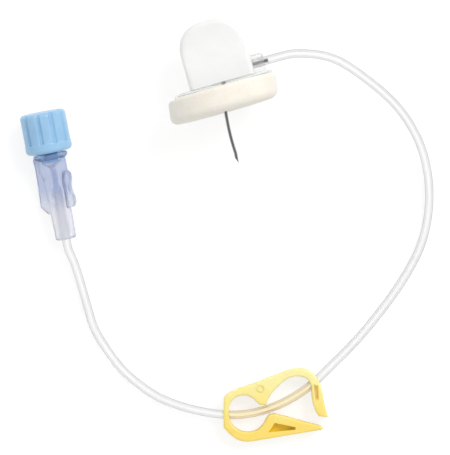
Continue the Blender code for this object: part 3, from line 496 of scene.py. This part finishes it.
def evenly_spaced(curve, step):
    """The same curve again with its points about one step apart."""
    lengths = [0.0]
    for a, b in zip(curve, curve[1:]):
        lengths.append(lengths[-1] + (b - a).length)
    count = max(2, round(lengths[-1] / step))
    spaced = []
    at = 0
    for k in range(count + 1):
        target = lengths[-1] * k / count
        while at < len(curve) - 2 and lengths[at + 1] < target:
            at += 1
        share = (target - lengths[at]) / (lengths[at + 1] - lengths[at])
        spaced.append(curve[at].lerp(curve[at + 1], share))
    return spaced


def round_angles(count):
    return [2.0 * math.pi * k / count for k in range(count)]


def quarter_angles(steps):
    return [math.pi / 2.0 * k / steps for k in range(steps + 1)]


def closed_skin(rings):
    """A bmesh of quads between point rings, all with as many points, with the last joined to the first."""
    bm = bmesh.new()
    made = [[bm.verts.new(point) for point in ring] for ring in rings]
    for low, high in zip(made, made[1:] + made[:1]):
        for i in range(len(low)):
            j = (i + 1) % len(low)
            bm.faces.new((low[i], low[j], high[j], high[i]))
    return bm


def piece(name, bm, shade, sharp=SHARP_ANGLE):
    """Turn a bmesh drawn in millimetres in the part's frame into a shaded object."""
    bmesh.ops.recalc_face_normals(bm, faces=bm.faces)
    bmesh.ops.scale(bm, vec=(MM, MM, MM), verts=bm.verts)
    mesh = bpy.data.meshes.new(name)
    bm.to_mesh(mesh)
    bm.free()
    mesh.shade_smooth()
    mesh.set_sharp_from_angle(angle=sharp)
    mesh.materials.append(shade.material)
    item = bpy.data.objects.new(name, mesh)
    SCENE.collection.objects.link(item)
    return item


# Camera, floor and light


def make_camera():
    data = bpy.data.cameras.new("photo_camera")
    data.sensor_fit = "VERTICAL"
    data.sensor_height = SENSOR_HEIGHT
    data.lens = SENSOR_HEIGHT * CAMERA_PLACE[2] / (IMAGE_HEIGHT * PIXEL_AT_TABLE)
    data.clip_end = CAMERA_FAR_END
    camera = bpy.data.objects.new("photo_camera", data)
    camera.location = CAMERA_PLACE
    camera.rotation_euler = (0.0, 0.0, CAMERA_TURN)
    SCENE.collection.objects.link(camera)
    SCENE.camera = camera


def make_floor():
    """A pale table that shows white where it is lit and keeps the object's shadow."""
    bm = bmesh.new()
    bmesh.ops.create_grid(bm, x_segments=2, y_segments=2, size=FLOOR_REACH)
    shade = Shade("floor_white", Roughness=0.9, Specular_IOR_Level=0.0, Emission_Color=WHITE)
    seen = shade.background_rays()
    through = shade.add("LightPath").outputs["Is Transmission Ray"]
    shown = shade.mix(seen, shade.tones(shade.noise(6.0), *FLOOR_TONES), FLOOR_SHADED)
    shade.feed("Base Color", shade.mix(through, shown, FLOOR_SHADED_THROUGH))
    glow = shade.spread(through, 0.0, 1.0, FLOOR_GLOW, FLOOR_GLOW_THROUGH)
    shade.feed("Emission Strength", shade.maths("MULTIPLY", seen, glow))
    floor = piece("floor", bm, shade)


def make_dome():
    """A studio dome that is dimmer straight above, where the camera hangs, and that shows as white."""
    world = bpy.data.worlds.new("studio")
    world.use_nodes = True
    SCENE.world = world
    sky = Nodes(world.node_tree, "Generated")
    link = sky.tree.links.new
    dome = sky.tree.nodes["Background"]
    white = sky.add("Background", {"Color": WHITE})
    level = sky.ramp(sky.height(), *((at, (grey, grey, grey)) for at, grey in DOME_STOPS))
    link(level, dome.inputs["Color"])
    side = sky.spread(sky.towards(DOME_TOWARDS), -1.0, 1.0, DOME_FAR_SIDE, DOME_NEAR_SIDE)
    link(side, dome.inputs["Strength"])
    shaders = {1: dome.outputs["Background"], 2: white.outputs["Background"]}
    choice = sky.add("MixShader", {"Fac": sky.background_rays(), **shaders})
    link(choice.outputs["Shader"], sky.tree.nodes["World Output"].inputs["Surface"])


def make_key():
    key = bpy.data.lights.new("key", "SUN")
    key.energy = KEY_ENERGY
    key.angle = KEY_ANGLE
    item = bpy.data.objects.new("key", key)
    item.rotation_euler = KEY_TOWARDS.to_track_quat("Z", "Y").to_euler()
    SCENE.collection.objects.link(item)


# Tube


def tube_path():
    """The tube's middle line, from inside the hub's port to inside the connector's sleeve."""
    inside = PORT_REACH - SOCKET_DEPTH + TUBE_END_GAP
    seated = SLEEVE_END + SLEEVE_SOCKET_DEPTH - TUBE_END_GAP
    head_places = (inside, PORT_REACH, PORT_REACH + TUBE_PORT_RUN)
    luer_places = (SLEEVE_END - TUBE_SLEEVE_RUN, SLEEVE_END, (SLEEVE_END + seated) / 2.0, seated)
    points = [head_point(x, 0.0, PORT_AXIS_HEIGHT) for x in head_places]
    points += [Vector(place) for place in TUBE_ROUTE]
    points += [luer_point(place) for place in luer_places]
    return evenly_spaced(smooth_through(points, TUBE_CURVE_STEPS), TUBE_RING_STEP)


def make_tube():
    """The hollow tube, over the needle's leg at one end and near the sleeve socket's floor at the other."""
    path = tube_path()
    last = len(path) - 1
    outer, inner = [], []
    for i, point in enumerate(path):
        along = (path[min(i + 1, last)] - path[max(i - 1, 0)]).normalized()
        side = UP.cross(along).normalized()
        up = along.cross(side)
        swell = 1.0 - TUBE_UNEVEN * (1.0 + noise.noise(Vector((i * TUBE_NOISE_STEP, 0.0, TUBE_NOISE_ROW))))
        spokes = [side * math.cos(a) + up * math.sin(a) for a in round_angles(TUBE_SIDES)]
        for rings, radius in ((outer, TUBE_OUTER), (inner, TUBE_LUMEN)):
            rings.append([point + spoke * radius * swell for spoke in spokes])
    tube = piece("extension_tube", closed_skin(outer + inner[::-1]), tube_clear())
    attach(tube, BODY)
    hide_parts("tube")


# Foam pad


def foam_ring(reach, depth, lumpy):
    """A ring of the foam's outside at a depth below the platform, as uneven as a share says."""
    points = []
    shift = FOAM_OFF_CENTRE + FOAM_CREEP * depth / FOAM_THICKNESS
    for a in round_angles(FOAM_SEGMENTS):
        x = math.cos(a) * reach * FOAM_NOISE_ACROSS
        y = math.sin(a) * reach * FOAM_NOISE_ACROSS
        bulge = noise.noise(Vector((x, y, depth * FOAM_NOISE_DOWN))) - FOAM_NOISE_BIAS
        r = reach + FOAM_UNEVEN * lumpy * bulge
        points.append(head_point(shift + r * math.cos(a), r * math.sin(a), -depth))
    return points


def foam_hole(depth):
    """A ring of the hole that follows the bowed needle down."""
    reach = NEEDLE_OD / 2.0 + FOAM_HOLE_GAP
    middle = needle_offset(depth)
    angles = round_angles(FOAM_SEGMENTS)
    return [head_point(middle + reach * math.cos(a), reach * math.sin(a), -depth) for a in angles]


def make_foam():
    """A soft disc with rounded, slightly uneven edges and a hole that follows the needle."""
    radius = FOAM_DIAMETER / 2.0
    top, low = FOAM_TOP_RADIUS, FOAM_UNDERSIDE_RADIUS
    wall = FOAM_THICKNESS - top - low
    rings = [foam_hole(FOAM_TOP_SINK)]
    rings += [foam_ring(radius * share, FOAM_TOP_SINK, 0.0) for share in FOAM_FLAT_RINGS]
    for a in quarter_angles(FOAM_EDGE_STEPS):
        rings.append(foam_ring(radius - top * (1.0 - math.sin(a)), top * (1.0 - math.cos(a)), 1.0))
    for k in range(1, FOAM_WALL_STEPS):
        rings.append(foam_ring(radius, top + wall * k / FOAM_WALL_STEPS, 1.0))
    for a in quarter_angles(FOAM_EDGE_STEPS):
        depth = FOAM_THICKNESS - low * (1.0 - math.sin(a))
        rings.append(foam_ring(radius - low * (1.0 - math.cos(a)), depth, 1.0))
    rings += [foam_ring(radius * share, FOAM_THICKNESS, 0.0) for share in reversed(FOAM_FLAT_RINGS)]
    rings += [foam_hole(FOAM_THICKNESS * k / FOAM_EDGE_STEPS) for k in range(FOAM_EDGE_STEPS, 0, -1)]
    foam = piece("foam_disc", closed_skin(rings), foam_cream(), FOAM_SHARP_ANGLE)
    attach(foam, BODY)
    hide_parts("foam_pad")


make_camera()
make_tube()
make_foam()
dress("grip", grip_white())
dress("needle", needle_steel())
dress("hub", hub_clear())
dress("clamp", clamp_yellow())
dress("luer_connector", connector_violet())
dress("luer_cap", cap_blue())
make_floor()
make_dome()
make_key()
SCENE.view_settings.view_transform = "Standard"
